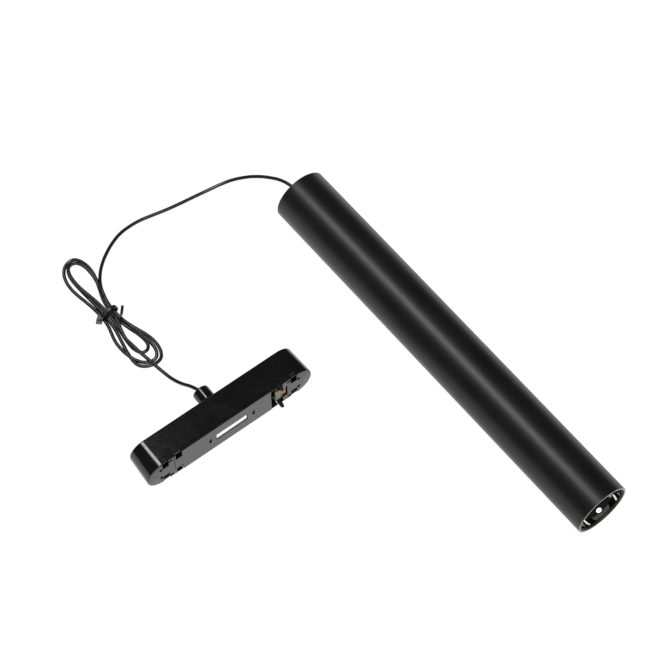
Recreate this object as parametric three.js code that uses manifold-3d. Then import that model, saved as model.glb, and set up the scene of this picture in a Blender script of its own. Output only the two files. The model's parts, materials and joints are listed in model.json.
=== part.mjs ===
// A pendant spotlight for a low-voltage magnetic track, lying on a flat surface: a tube lamp, its cord
// with the spare length tied in a hank, and the adapter that clicks into the track.
// Millimetres, +Z up, the surface is Z = 0. The tube lies along X with its light end towards +X. The
// origin is on the surface, below the middle of the box round the tube and the adapter.

import * as THREE from 'three';
import { mergeVertices } from 'three/addons/utils/BufferGeometryUtils.js';
import Module from 'manifold-3d';

const wasm = await Module();
wasm.setup();

// ---------------------------------------------------------------- driving dimensions

const GAP = 0.3;                 // play between neighbouring pieces

const TUBE_LENGTH = 301;
const TUBE_RADIUS = 19.5;
const TUBE_WALL = 1.5;
const TUBE_Y = 94;               // the tube's axis, beside the adapter

const ADAPTER_LENGTH = 129.2;    // at the contact face
const ADAPTER_WIDTH = 24.4;      // across the long side walls, at the contact face
const ADAPTER_HEIGHT = 21.8;     // gland face to contact face
const ADAPTER_PLACE = [-65.22, -47.8, 0.9];  // lower edge of the gland face, at its middle
const ADAPTER_TURN = 88.3;       // degrees from +X to the adapter's long axis
const CASE_WALL = 1.5;
const COVER_THICKNESS = 1.9;
const CASE_DRAFT = 1;                // the case is this much slimmer all round at the gland face
const EDGE_CHAMFER = 0.8;

const CORD_RADIUS = 1.2;

const BORE_RADIUS = TUBE_RADIUS - TUBE_WALL;   // inside of the tube
const FIT_RADIUS = BORE_RADIUS - GAP;          // pieces that sit in the tube
const REAR = -TUBE_LENGTH / 2;
const FRONT = TUBE_LENGTH / 2;
const HALF_WIDTH = ADAPTER_WIDTH / 2;

// ---------------------------------------------------------------- materials

function finish(color, roughness, metalness) {
  return new THREE.MeshStandardMaterial({ color, roughness, metalness });
}

const coatedMetal = finish(0x1b1b1b, 0.42, 0.3);
const darkMirror = finish(0x14110f, 0.08, 0.6);
const blackPlastic = finish(0x1a1a1a, 0.45, 0);
const cordSheath = finish(0x222220, 0.55, 0);
const bareAluminium = finish(0xb9bcc0, 0.4, 1);
const steel = finish(0x8f9296, 0.35, 1);
const nickel = finish(0xe9e6dc, 0.25, 1);
const copper = finish(0xb06c43, 0.35, 1);
const board = finish(0x7f9a6a, 0.6, 0);
const whitePlastic = finish(0xe8e6e0, 0.5, 0);
const phosphor = finish(0xf2d66a, 0.6, 0);
const clear = finish(0xf4f7fa, 0.05, 0);
const greyCeramic = finish(0x4d5054, 0.7, 0);
const redSheath = finish(0xa32020, 0.5, 0);
const rubber = finish(0x161616, 0.8, 0);

// ---------------------------------------------------------------- shapes

// A geometry as a closed solid that can be joined and cut.
function solid(geometry) {
  const plain = geometry.index ? geometry.toNonIndexed() : geometry.clone();
  plain.deleteAttribute('normal');
  plain.deleteAttribute('uv');
  const merged = mergeVertices(plain, 1e-4);
  const triangles = [];
  for (let i = 0; i < merged.index.count; i += 3) {
    const [a, b, c] = [0, 1, 2].map((k) => merged.index.getX(i + k));
    if (a !== b && b !== c && c !== a) triangles.push(a, b, c);
  }
  return new wasm.Manifold(new wasm.Mesh({
    numProp: 3,
    vertProperties: new Float32Array(merged.attributes.position.array),
    triVerts: new Uint32Array(triangles),
  }));
}

function geometryOf(body) {
  const mesh = body.getMesh();
  const geometry = new THREE.BufferGeometry();
  geometry.setAttribute('position', new THREE.BufferAttribute(new Float32Array(mesh.vertProperties), 3));
  geometry.setIndex(new THREE.BufferAttribute(new Uint32Array(mesh.triVerts), 1));
  return geometry;
}

const joined = (...bodies) => bodies.reduce((whole, body) => whole.add(body));
const cut = (body, ...tools) => tools.reduce((rest, tool) => rest.subtract(tool), body);

// A box from its lowest to its highest x, y and z.
function box([x0, x1], [y0, y1], [z0, z1]) {
  const geometry = new THREE.BoxGeometry(x1 - x0, y1 - y0, z1 - z0);
  return geometry.translate((x0 + x1) / 2, (y0 + y1) / 2, (z0 + z1) / 2);
}

// A shape turned round the X axis from [x, radius] corners. The outline closes on itself or on the axis.
function turned(corners, segments = 24) {
  const outline = corners.map(([x, r]) => new THREE.Vector2(r, x));
  if (corners[0][1] > 0) outline.push(outline[0].clone());
  return new THREE.LatheGeometry(outline, segments).rotateZ(-Math.PI / 2);
}

// A ring or, with no bore, a disc, square at its edges.
function ring(x0, x1, radius, bore = 0, segments = 24) {
  return turned([[x0, bore], [x0, radius], [x1, radius], [x1, bore]], segments);
}

// A six-sided nut with a round bore.
function nut(x0, x1, radius, bore) {
  return geometryOf(cut(solid(ring(x0, x1, radius, 0, 6)), solid(ring(x0 - 1, x1 + 1, bore, 0, 16))));
}

// The same shapes standing along Z instead of X.
const upright = (geometry) => geometry.rotateY(-Math.PI / 2);

function extruded(shape, z0, z1, curveSegments = 6) {
  const depth = z1 - z0;
  const geometry = new THREE.ExtrudeGeometry(shape, { depth, bevelEnabled: false, curveSegments });
  return geometry.translate(0, 0, z0);
}

// A long outline with half-round ends, length along X.
function stadium(length, width) {
  const r = width / 2;
  const shape = new THREE.Shape();
  shape.absarc(length / 2 - r, 0, r, -Math.PI / 2, Math.PI / 2);
  shape.absarc(r - length / 2, 0, r, Math.PI / 2, 3 * Math.PI / 2);
  shape.closePath();
  return shape;
}

// A round bar with an even number of sides along a smooth path.
function bar(points, radius, sides, steps) {
  const section = new THREE.Shape();
  section.absarc(0, 0, radius, 0, 2 * Math.PI);
  const corners = points.map((p) => new THREE.Vector3(...p));
  const path = new THREE.CatmullRomCurve3(corners, false, 'centripetal');
  return new THREE.ExtrudeGeometry(section, { extrudePath: path, steps, curveSegments: sides / 2 });
}

// The middle line of a coil spring along Z.
class Coil extends THREE.Curve {
  constructor(radius, turns, z0, z1) {
    super();
    Object.assign(this, { radius, turns, z0, z1 });
  }

  getPoint(t) {
    const angle = 2 * Math.PI * this.turns * t;
    const z = this.z0 + (this.z1 - this.z0) * t;
    return new THREE.Vector3(this.radius * Math.cos(angle), this.radius * Math.sin(angle), z);
  }
}

// A coil spring of square wire along Z, given by its outer radius and half its wire's width.
function spring(radius, wire, turns, z0, z1) {
  const section = new THREE.Shape();
  section.absarc(0, 0, wire, 0, 2 * Math.PI);
  const path = new Coil(radius - wire, turns, z0 + 1.6 * wire, z1 - 1.6 * wire);
  return new THREE.ExtrudeGeometry(section, { extrudePath: path, steps: 7 * turns, curveSegments: 2 });
}

const group = new THREE.Group();

function add(parent, name, shape, material) {
  const geometry = shape.isBufferGeometry ? shape : geometryOf(shape);
  const mesh = new THREE.Mesh(geometry, material);
  mesh.name = name;
  parent.add(mesh);
  return mesh;
}

// ---------------------------------------------------------------- lamp

const lamp = new THREE.Group();
lamp.position.set(0, TUBE_Y, TUBE_RADIUS);
group.add(lamp);

function buildTube() {
  const lip = 0.3;
  return turned([
    [REAR, BORE_RADIUS], [REAR, TUBE_RADIUS - lip], [REAR + lip, TUBE_RADIUS],
    [FRONT - lip, TUBE_RADIUS], [FRONT, TUBE_RADIUS - lip], [FRONT, BORE_RADIUS],
  ], 60);
}

const CAP_FACE = REAR + 1;          // the cap sits just inside the rim
const CAP_THICKNESS = 3.5;
const CAP_SKIRT = 10;
const CAP_SCREW_RADIUS = 13.8;      // from the tube's axis
const BUSH_STEM = 4;

function buildRearCap() {
  const inside = CAP_FACE + CAP_THICKNESS;
  const cup = solid(turned([
    [CAP_FACE, BUSH_STEM + GAP], [CAP_FACE, FIT_RADIUS - 0.4], [CAP_FACE + 0.4, FIT_RADIUS],
    [CAP_FACE + CAP_SKIRT, FIT_RADIUS], [CAP_FACE + CAP_SKIRT, FIT_RADIUS - 1.5],
    [inside, FIT_RADIUS - 1.5], [inside, BUSH_STEM + GAP],
  ], 40));
  const holes = [-1, 1].map((side) => {
    const hole = turned([
      [CAP_FACE - 1, 0], [CAP_FACE - 1, 2.7], [CAP_FACE + 1.9, 2.7],
      [CAP_FACE + 1.9, 1.5], [inside + 1, 1.5], [inside + 1, 0],
    ], 14);
    return solid(hole.translate(0, side * CAP_SCREW_RADIUS, 0));
  });
  return cut(cup, ...holes);
}

const RING_BACK = CAP_FACE + CAP_SKIRT + GAP;
const RING_FRONT = RING_BACK + 4;

function buildCapRing() {
  const body = solid(ring(RING_BACK, RING_FRONT, FIT_RADIUS, 10.8, 32));
  const holes = [-1, 1].map((side) => (
    solid(ring(RING_BACK - 1, RING_FRONT + 1, 1.5, 0, 12).translate(0, side * CAP_SCREW_RADIUS, 0))
  ));
  return cut(body, ...holes);
}

function buildCapScrew(side) {
  const head = CAP_FACE + 0.1;
  const shaft = solid(turned([
    [head, 0], [head, 2], [head + 0.4, 2.4], [head + 1.5, 2.4],
    [head + 1.5, 1.2], [RING_FRONT, 1.2], [RING_FRONT, 0],
  ], 12));
  const slot = solid(box([head - 1, head + 0.8], [-0.4, 0.4], [-3, 3]));
  return geometryOf(cut(shaft, slot)).translate(0, side * CAP_SCREW_RADIUS, 0);
}

const BUSH_NOSE = CAP_FACE - 6;

function buildCordBush() {
  const flange = CAP_FACE - GAP;
  return turned([
    [BUSH_NOSE, CORD_RADIUS + GAP], [BUSH_NOSE, 2.3], [flange - 1.4, 3.9],
    [flange - 1.4, 6], [flange, 6], [flange, BUSH_STEM],
    [CAP_FACE + 7.4, BUSH_STEM], [CAP_FACE + 7.4, CORD_RADIUS + GAP],
  ], 20);
}

function buildBushNut() {
  const start = CAP_FACE + CAP_THICKNESS + GAP;
  return nut(start, start + 3, 6.6, BUSH_STEM + GAP);
}

const CLAMP_START = RING_FRONT + 2;

function buildCordClamp() {
  const block = solid(box([CLAMP_START, CLAMP_START + 8], [-4.5, 4.5], [-4.5, 4.5]));
  const bore = solid(ring(CLAMP_START - 1, CLAMP_START + 9, CORD_RADIUS + GAP, 0, 12));
  const thread = solid(upright(ring(0, 6, 1.6, 0, 12)).translate(CLAMP_START + 4, 0, 0));
  return cut(block, bore, thread);
}

function buildClampScrew() {
  const stem = turned([[1.6, 0], [1.6, 1.3], [5.6, 1.3], [5.6, 0]], 12);
  return upright(stem).translate(CLAMP_START + 4, 0, 0);
}

const SINK_BACK = 80;
const SINK_FRONT = 112;
const LEAD_RADIUS = 0.6;
const LEAD_OFFSET = 14;             // leads run between two fins
const LEAD_HOLE = 1.4;
const LED_SCREW = 7.6;              // the LED board's screws, from the axis, sideways and up
const LED_SCREW_HOLE = 1.3;

function buildHeatSink() {
  const fins = 16;
  const outer = FIT_RADIUS;
  const root = 10.5;
  const tip = 0.8;
  const foot = 1.05;
  const shape = new THREE.Shape();
  for (let i = 0; i < fins; i += 1) {
    const angle = 2 * Math.PI * (i + 0.5) / fins;
    const corner = (radius, offset) => {
      const turn = angle + offset / radius;
      return [radius * Math.cos(turn), radius * Math.sin(turn)];
    };
    const outline = [corner(root, -foot), corner(outer, -tip), corner(outer, tip), corner(root, foot)];
    outline.forEach((p, k) => (i + k === 0 ? shape.moveTo(...p) : shape.lineTo(...p)));
  }
  shape.closePath();
  const faceBack = SINK_FRONT - 4;
  const depth = faceBack - SINK_BACK + 0.5;     // the comb runs a little into the face plate
  const comb = new THREE.ExtrudeGeometry(shape, { depth, bevelEnabled: false });
  comb.rotateX(Math.PI / 2).rotateZ(Math.PI / 2).translate(SINK_BACK, 0, 0);
  const face = solid(ring(faceBack, SINK_FRONT, outer, 0, 32));
  const holes = [-1, 1].flatMap((side) => [
    solid(ring(faceBack - 1, SINK_FRONT + 1, LEAD_HOLE, 0, 10).translate(0, side * LEAD_OFFSET, 0)),
    solid(ring(SINK_FRONT - 3, SINK_FRONT + 1, LED_SCREW_HOLE, 0, 10)
      .translate(0, side * LED_SCREW, side * LED_SCREW)),
  ]);
  return cut(joined(solid(comb), face), ...holes);
}

const LED_BOARD_BACK = SINK_FRONT + GAP;
const LED_BOARD_FRONT = LED_BOARD_BACK + 1.2;

function buildLedBoard() {
  const plate = solid(box([LED_BOARD_BACK, LED_BOARD_FRONT], [-9.5, 9.5], [-9.5, 9.5]));
  const holes = [-1, 1].map((side) => (
    solid(ring(LED_BOARD_BACK - 1, LED_BOARD_FRONT + 1, LED_SCREW_HOLE, 0, 10)
      .translate(0, side * LED_SCREW, side * LED_SCREW))
  ));
  return cut(plate, ...holes);
}

function buildLedScrew(side) {
  const head = LED_BOARD_FRONT + GAP;
  return turned([
    [SINK_FRONT - 2.6, 0], [SINK_FRONT - 2.6, 1], [head, 1], [head, 1.6], [head + 1.2, 1.6],
    [head + 1.2, 0],
  ], 10).translate(0, side * LED_SCREW, side * LED_SCREW);
}

const EMITTER_BACK = LED_BOARD_FRONT + GAP;

const LENS_BACK = EMITTER_BACK + 3.2;

function buildLens() {
  return turned([
    [LENS_BACK, 0], [LENS_BACK, 10], [LENS_BACK + 1.4, 10], [LENS_BACK + 1.4, 5.9],
    [LENS_BACK + 3.3, 4.4], [LENS_BACK + 4.1, 2], [LENS_BACK + 4.2, 0],
  ], 24);
}

const CUP_BACK = LENS_BACK + 1.4 + GAP;
const CUP_FRONT = FRONT - 1.9;
const CUP_THROAT = 6.4;
const CUP_MOUTH = 17;
const CUP_WALL = 1;
const CUP_RIB = CUP_BACK + 19;

// Radius of the cup's inner wall: steep at the throat, nearly straight towards the mouth.
function cupRadius(x) {
  const depth = (x - CUP_BACK) / (CUP_FRONT - CUP_BACK);
  return CUP_THROAT + (CUP_MOUTH - CUP_THROAT) * depth ** 0.8;
}

function buildCup() {
  const stations = 5;
  const inner = [];
  for (let i = stations; i >= 0; i -= 1) {
    const x = CUP_BACK + (CUP_FRONT - CUP_BACK) * i / stations;
    inner.push([x, cupRadius(x)]);
  }
  const outer = [
    [CUP_BACK, 12], [CUP_BACK + 1, 12], [CUP_BACK + 2, cupRadius(CUP_BACK + 2) + CUP_WALL],
    [CUP_RIB, cupRadius(CUP_RIB) + CUP_WALL], [CUP_RIB, FIT_RADIUS], [CUP_RIB + 1, FIT_RADIUS],
    [CUP_RIB + 1, cupRadius(CUP_RIB + 1) + CUP_WALL],
    [CUP_FRONT - 1.2, FIT_RADIUS], [CUP_FRONT, FIT_RADIUS],
  ];
  return turned([...inner, ...outer], 40);
}

function buildSpacer() {
  return ring(LED_BOARD_BACK, CUP_RIB - GAP, FIT_RADIUS, 16.4, 36);
}

function buildFrontRing() {
  return turned([
    [CUP_FRONT + GAP, CUP_MOUTH - 0.2], [CUP_FRONT + GAP, FIT_RADIUS], [CUP_FRONT + 1.4, FIT_RADIUS],
    [CUP_FRONT + 1.4, CUP_MOUTH + 0.1],
  ], 48);
}

const INNER_CABLE_END = 60;

function buildLedLead(side) {
  return bar([
    [INNER_CABLE_END + 0.6, side * 0.7, 0], [INNER_CABLE_END + 6, side * 3, 0], [72, side * 11, 0],
    [SINK_BACK, side * LEAD_OFFSET, 0], [96, side * LEAD_OFFSET, 0], [SINK_FRONT, side * LEAD_OFFSET, 0],
    [SINK_FRONT + 2, side * 13.2, 0], [LED_BOARD_FRONT + 1.3, side * 10.6, 0],
    [LED_BOARD_FRONT + 1.1, side * 8.6, 0],
  ], LEAD_RADIUS, 6, 15);
}

function buildLamp() {
  add(lamp, 'lamp_tube', buildTube(), coatedMetal);
  add(lamp, 'rear_cap', buildRearCap(), coatedMetal);
  add(lamp, 'cap_ring', buildCapRing(), bareAluminium);
  add(lamp, 'cap_screw_left', buildCapScrew(-1), steel);
  add(lamp, 'cap_screw_right', buildCapScrew(1), steel);
  add(lamp, 'cord_bush', buildCordBush(), blackPlastic);
  add(lamp, 'bush_nut', buildBushNut(), blackPlastic);
  add(lamp, 'cord_clamp', buildCordClamp(), steel);
  add(lamp, 'clamp_screw', buildClampScrew(), steel);
  add(lamp, 'inner_cable', ring(CAP_FACE, INNER_CABLE_END, CORD_RADIUS, 0, 10), cordSheath);
  add(lamp, 'heat_sink', buildHeatSink(), bareAluminium);
  add(lamp, 'led_board', buildLedBoard(), whitePlastic);
  add(lamp, 'led_emitter', ring(EMITTER_BACK, EMITTER_BACK + 0.6, 4.5), phosphor);
  add(lamp, 'led_holder', ring(EMITTER_BACK, LENS_BACK - GAP, 7.4, 4.9), whitePlastic);
  add(lamp, 'led_screw_left', buildLedScrew(-1), steel);
  add(lamp, 'led_screw_right', buildLedScrew(1), steel);
  add(lamp, 'led_lead_red', buildLedLead(1), redSheath);
  add(lamp, 'led_lead_black', buildLedLead(-1), blackPlastic);
  add(lamp, 'lens', buildLens(), clear);
  add(lamp, 'cup_spacer', buildSpacer(), bareAluminium);
  add(lamp, 'glare_cup', buildCup(), darkMirror);
  add(lamp, 'front_ring', buildFrontRing(), coatedMetal);
}

// ---------------------------------------------------------------- adapter
// Inside this group X runs along the adapter, Y across it and Z from the gland face to the contact face.

const adapter = new THREE.Group();
const [adapterX, adapterY, adapterZ] = ADAPTER_PLACE;
adapter.position.set(adapterX, adapterY, adapterZ + HALF_WIDTH);
adapter.rotation.set(Math.PI / 2, 0, THREE.MathUtils.degToRad(ADAPTER_TURN), 'ZYX');
group.add(adapter);

const FACE = ADAPTER_HEIGHT;
const DECK = FACE - COVER_THICKNESS - GAP;      // the case below the cover
const COVER_RANGE = [-43.4, 32.2];
const BAY_HALF = 6;                             // half the contact bay's width, between the pin bosses
const BAY_END = 45.2;                           // the strips' pads reach this far under the open face
const PIN_POCKET = [32.5, 41.7];
const PIN_GAP = [37.5, 40.5];                   // where a pin leans out through the side wall
const INNER_NOTCH = [-42.6, -37.6];
const NOTCH_DEPTH_Y = 6;
const CATCH_POCKET = [48, 52.8];                // both ends, measured from the middle
const CATCH_SLIT = [45, 48.2];
const SMALL_SLIT = [53.2, 55.2];
const GLAND_X = -0.2;
const GLAND_HOLE = 5.3;
const MAGNET_RANGE = [-11, 13];
const MAGNET_HALF = 2.8;
const CLIP_SLOTS = [-15.9, 18.1];               // for the hooks of the magnet's clip
const CLIP_SLOT_HALF = [0.9, 2.4];
const CASE_SCREWS = [-31, 26];
const MAGNET_BACK = FACE - 3.6;
const KEEPER_BACK = FACE - 5.8;
const UPSTAND = 1;                               // thin outer wall left beside a pocket
const SIDE_LIP = 1.2;                           // a notch is open on the side wall this far down
const CATCH_WALL = 1.2;
const POCKET_FLOOR = FACE - 4.2;
const FLOOR = 2;
const LOWER_ROOM = 12;                          // top of the room below the catches

// Splayed contact pins: a pin's axis leans outwards by PIN_LEAN.
const PIN_X = 39;
const PIN_LEAN = THREE.MathUtils.degToRad(13);
const PIN_FOOT = [8.2, 9.6];                    // |y| and z of the boss's lower mouth on the axis
const PIN_RADIUS = 1;
const PIN_PROUD = 16.1;                         // tip, measured along the axis from the foot

// Puts a shape that stands along Z at the foot of a pin and leans it outwards.
function leaned(geometry, side) {
  geometry.rotateX(-side * PIN_LEAN);
  return geometry.translate(PIN_X, side * PIN_FOOT[0], PIN_FOOT[1]);
}

const mirrored = (build) => [-1, 1].map((side) => build(side));

// A box given by its distance |y| from the middle plane, on one side of it.
function sideBox(x, [y0, y1], z, side) {
  return box(x, side > 0 ? [y0, y1] : [-y1, -y0], z);
}

// A box given by its distances from the middle along x and y, at one of the four corners.
function cornerBox([x0, x1], y, z, end, side) {
  return sideBox(end > 0 ? [x0, x1] : [-x1, -x0], y, z, side);
}

function corners(build) {
  return [-1, 1].flatMap((end) => [-1, 1].map((side) => build(end, side)));
}

// Leans the case's walls in towards the gland face, by CASE_DRAFT over its height.
function drafted(geometry) {
  const place = geometry.getAttribute('position');
  const spine = (ADAPTER_LENGTH - ADAPTER_WIDTH) / 2;
  for (let i = 0; i < place.count; i += 1) {
    const nearest = Math.max(-spine, Math.min(spine, place.getX(i)));
    const shrink = 1 - CASE_DRAFT / HALF_WIDTH * (1 - place.getZ(i) / FACE);
    place.setX(i, nearest + (place.getX(i) - nearest) * shrink);
    place.setY(i, place.getY(i) * shrink);
  }
  return geometry;
}

function buildCase() {
  const core = new THREE.ExtrudeGeometry(stadium(ADAPTER_LENGTH - 2 * EDGE_CHAMFER,
    ADAPTER_WIDTH - 2 * EDGE_CHAMFER), {
    depth: ADAPTER_HEIGHT - 2 * EDGE_CHAMFER,
    bevelThickness: EDGE_CHAMFER,
    bevelSize: EDGE_CHAMFER,
    bevelSegments: 1,
    curveSegments: 7,
  });
  const outer = solid(drafted(core.translate(0, 0, EDGE_CHAMFER)));
  const above = FACE + 1;
  const beyond = HALF_WIDTH + 1;
  const lowerWall = CASE_WALL + CASE_DRAFT;
  const lowerRoom = solid(extruded(stadium(ADAPTER_LENGTH - 2 * lowerWall, ADAPTER_WIDTH - 2 * lowerWall),
    FLOOR, LOWER_ROOM));
  const bosses = mirrored((side) => (
    solid(sideBox([31.6, 43.6], [BAY_HALF, HALF_WIDTH - CASE_DRAFT],
      [PIN_FOOT[1] - 0.4, LOWER_ROOM + 1], side))
  ));
  const screwPosts = CASE_SCREWS.map((x) => (
    solid(upright(ring(FLOOR - 1, 6, 3, 0, 14)).translate(x, 0, 0))
  ));
  const coverSeat = cut(
    solid(box([COVER_RANGE[0] - GAP, COVER_RANGE[1] + GAP], [-beyond, beyond], [DECK, above])),
    ...mirrored((side) => solid(sideBox([INNER_NOTCH[0] + GAP, INNER_NOTCH[1] - GAP],
      [HALF_WIDTH - UPSTAND, beyond], [DECK - 1, FACE - SIDE_LIP], side))),
  );
  const tools = [
    solid(box([-36.2, 31], [CASE_WALL - HALF_WIDTH, HALF_WIDTH - CASE_WALL], [LOWER_ROOM - 1, above])),
    coverSeat,
    solid(box([30, BAY_END], [-BAY_HALF, BAY_HALF], [6, above])),
    solid(box(PIN_POCKET, [UPSTAND - HALF_WIDTH, HALF_WIDTH - UPSTAND], [POCKET_FLOOR, above])),
    ...mirrored((side) => solid(sideBox(PIN_GAP, [9.4, beyond], [POCKET_FLOOR, above], side))),
    ...mirrored((side) => solid(sideBox(INNER_NOTCH, [NOTCH_DEPTH_Y, HALF_WIDTH - UPSTAND],
      [POCKET_FLOOR, above], side))),
    ...corners((end, side) => solid(cornerBox(CATCH_POCKET, [4.8, HALF_WIDTH - CATCH_WALL],
      [FACE - 7.6, above], end, side))),
    ...corners((end, side) => solid(cornerBox(CATCH_POCKET, [9, beyond],
      [FACE - 4, above], end, side))),
    ...corners((end, side) => solid(cornerBox(CATCH_SLIT, [8.4, 10.4],
      [POCKET_FLOOR, above], end, side))),
    ...corners((end, side) => solid(cornerBox(SMALL_SLIT, [3.6, 6.6],
      [FACE - 2.6, above], end, side))),
    ...mirrored((side) => solid(leaned(upright(ring(-1, 7.2, 1.65, 0, 12)), side))),
    ...mirrored((side) => solid(leaned(upright(ring(7, 14, PIN_RADIUS + GAP, 0, 12)), side))),
    solid(upright(ring(-1, FLOOR + 1, GLAND_HOLE)).translate(GLAND_X, 0, 0)),
    ...CASE_SCREWS.map((x) => solid(upright(turned([
      [-1, 0], [-1, 2.5], [1.8, 2.5], [1.8, 1.5], [7, 1.5], [7, 0],
    ], 12)).translate(x, 0, 0))),
  ];
  const shell = joined(outer.subtract(lowerRoom), ...bosses, ...screwPosts);
  return cut(shell, ...tools);
}

function buildCover() {
  const plate = solid(box(COVER_RANGE, [-HALF_WIDTH, HALF_WIDTH], [FACE - COVER_THICKNESS, FACE]));
  const back = FACE - COVER_THICKNESS + 0.5;
  const fence = cut(
    solid(box([-13.2, 15.2], [-6.4, 6.4], [KEEPER_BACK - 0.2, back])),
    solid(box([-11.9, 13.9], [-4.9, 4.9], [KEEPER_BACK - 1, back + 1])),
  );
  const posts = CASE_SCREWS.map((x) => solid(upright(ring(6.3, back, 2.8, 0, 14)).translate(x, 0, 0)));
  const tools = [
    solid(box([MAGNET_RANGE[0] - GAP, MAGNET_RANGE[1] + GAP], [-MAGNET_HALF - GAP, MAGNET_HALF + GAP],
      [FACE - 4, FACE + 1])),
    ...CLIP_SLOTS.map((x) => solid(box([x - CLIP_SLOT_HALF[0], x + CLIP_SLOT_HALF[0]],
      [-CLIP_SLOT_HALF[1], CLIP_SLOT_HALF[1]], [FACE - 4, FACE + 1]))),
    ...mirrored((side) => solid(sideBox(INNER_NOTCH, [NOTCH_DEPTH_Y, HALF_WIDTH + 1],
      [FACE - 4, FACE + 1], side))),
    ...CASE_SCREWS.map((x) => solid(upright(ring(5, 15, 1.5, 0, 10)).translate(x, 0, 0))),
  ];
  return cut(joined(plate, fence, ...posts), ...tools);
}

// The clip that holds the magnet: a bridge below the fence, with a hook up into each slot of the cover.
function buildMagnetClip() {
  const bridge = solid(box([CLIP_SLOTS[0] - 0.6, CLIP_SLOTS[1] + 0.6], [-2, 2],
    [KEEPER_BACK - 1.8, KEEPER_BACK - 0.6]));
  const hooks = CLIP_SLOTS.map((x) => solid(box([x - 0.6, x + 0.6], [-2, 2],
    [KEEPER_BACK - 1.8, FACE - 0.9])));
  return joined(bridge, ...hooks);
}

function buildCaseScrew(x) {
  const body = solid(upright(turned([
    [0.2, 0], [0.2, 2.2], [1.5, 2.2], [1.5, 1.2], [14, 1.2], [14, 0],
  ], 12)));
  const slot = solid(box([-3, 3], [-0.35, 0.35], [-1, 0.9]));
  return geometryOf(cut(body, slot)).translate(x, 0, 0);
}

// A catch: a block in the pocket whose sloped nose stands out of the side wall.
function buildCatch(end, side) {
  const shape = new THREE.Shape([
    [8.4, -7.2], [10.7, -7.2], [10.7, -3.7], [12, -3.7], [13, -2.6], [13, -1.8],
    [11.8, -0.6], [10.4, -0.6], [9.4, -1.6], [8.4, -1.6],
  ].map(([y, z]) => new THREE.Vector2(y, FACE + z)));
  const length = CATCH_POCKET[1] - CATCH_POCKET[0] - 2 * GAP;
  const prism = new THREE.ExtrudeGeometry(shape, { depth: length, bevelEnabled: false });
  prism.rotateX(Math.PI / 2).rotateZ(Math.PI / 2).translate(-length / 2, 0, 0);
  if (side < 0) prism.rotateZ(Math.PI);
  return prism.translate(end * (CATCH_POCKET[0] + CATCH_POCKET[1]) / 2, 0, 0);
}

function buildCatchSpring(end, side) {
  const coil = spring(1.4, 0.22, 3, 5.5, 8.2);
  coil.rotateX(side > 0 ? -Math.PI / 2 : Math.PI / 2);
  return coil.translate(end * (CATCH_POCKET[0] + CATCH_POCKET[1]) / 2, 0, FACE - 4.4);
}

function buildPin(side) {
  const tip = PIN_PROUD;
  const r = PIN_RADIUS;
  return leaned(upright(turned([
    [2.8, 0], [2.8, 0.6], [5.4, 0.6], [5.4, 1.4], [6.8, 1.4], [6.8, r], [tip - 0.8, r],
    [tip, 0.45 * r], [tip, 0],
  ], 14)), side);
}

function buildPinSpring(side) {
  return leaned(spring(1.4, 0.22, 5, 0.3, 5.2), side);
}

// A contact strip: a foot below the pin's spring, a leg up the bay and a pad in the bay's mouth.
function buildStrip(side) {
  const pad = FACE - 1.3;
  const leg = [40.3, 42.9];
  return joined(
    solid(sideBox([36.6, leg[1]], [5, 9.6], [8.2, 8.8], side)),
    solid(sideBox(leg, [5, 5.6], [8.2, pad], side)),
    solid(sideBox([leg[0], BAY_END - 0.5], [0.5, 5.6], [pad - 0.6, pad], side)),
  );
}

function buildDriverBoard() {
  const plate = solid(box([-25, 20], [-9.2, 9.2], [6.6, 8]));
  return plate.subtract(solid(upright(ring(6, 9, 2, 0, 16)).translate(GLAND_X, 0, 0)));
}

const GLAND_RADIUS = 5.9;
const GLAND_TIP = -11.8;

function buildGlandBody() {
  return upright(turned([
    [-7, 2.2], [-7, 4.2], [-2.3, 4.2], [-2.3, 5.7], [-GAP, 5.7], [-GAP, 4.9], [5.6, 4.9], [5.6, 2.2],
  ], 20)).translate(GLAND_X, 0, 0);
}

function buildGlandNut() {
  return upright(turned([
    [GLAND_TIP, CORD_RADIUS + GAP], [GLAND_TIP, GLAND_RADIUS - 1.6], [GLAND_TIP + 0.5, GLAND_RADIUS - 0.6],
    [GLAND_TIP + 1.6, GLAND_RADIUS], [-2.7, GLAND_RADIUS], [-2.7, 4.5], [-9.6, 4.5],
    [-9.6, CORD_RADIUS + GAP],
  ], 28)).translate(GLAND_X, 0, 0);
}

function buildFeedLead(side) {
  return bar([
    [GLAND_X + 0.2, side * 0.8, 11.2], [4, side * 1.2, 11.6], [16, side * 1.6, 11.2],
    [24, side * 4.6, 10.6], [33, side * 4.4, 10.4], [39.6, side * 4.2, 10.4],
  ], LEAD_RADIUS, 6, 9);
}

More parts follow.
